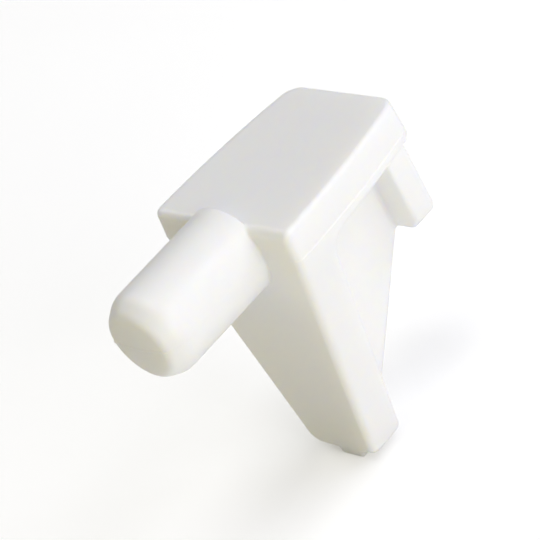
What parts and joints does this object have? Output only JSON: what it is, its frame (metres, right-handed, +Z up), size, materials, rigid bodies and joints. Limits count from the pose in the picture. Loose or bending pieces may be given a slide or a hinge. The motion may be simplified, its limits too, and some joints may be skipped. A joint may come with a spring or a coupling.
{
  "type": "shelf support pin",
  "caption": "One-piece shelf support: a round plug-in pin on a bracket whose flat top carries the shelf, with a tapering leg, a stiffening web and an end tab.",
  "frame": {"origin": "on the pin's axis, in the plane of the wall face, which is also the height of the mould's parting plane", "axes": "as in use: -X along the pin into the wall, +X out under the shelf, +Z up out of the face that carries the shelf"},
  "size_m": [0.0224, 0.0126, 0.021],
  "materials": {
    "moulded_plastic": "satin, slightly translucent white"
  },
  "bodies": {
    "root": {"shelf_support": "moulded_plastic"}
  },
  "joints": []
}
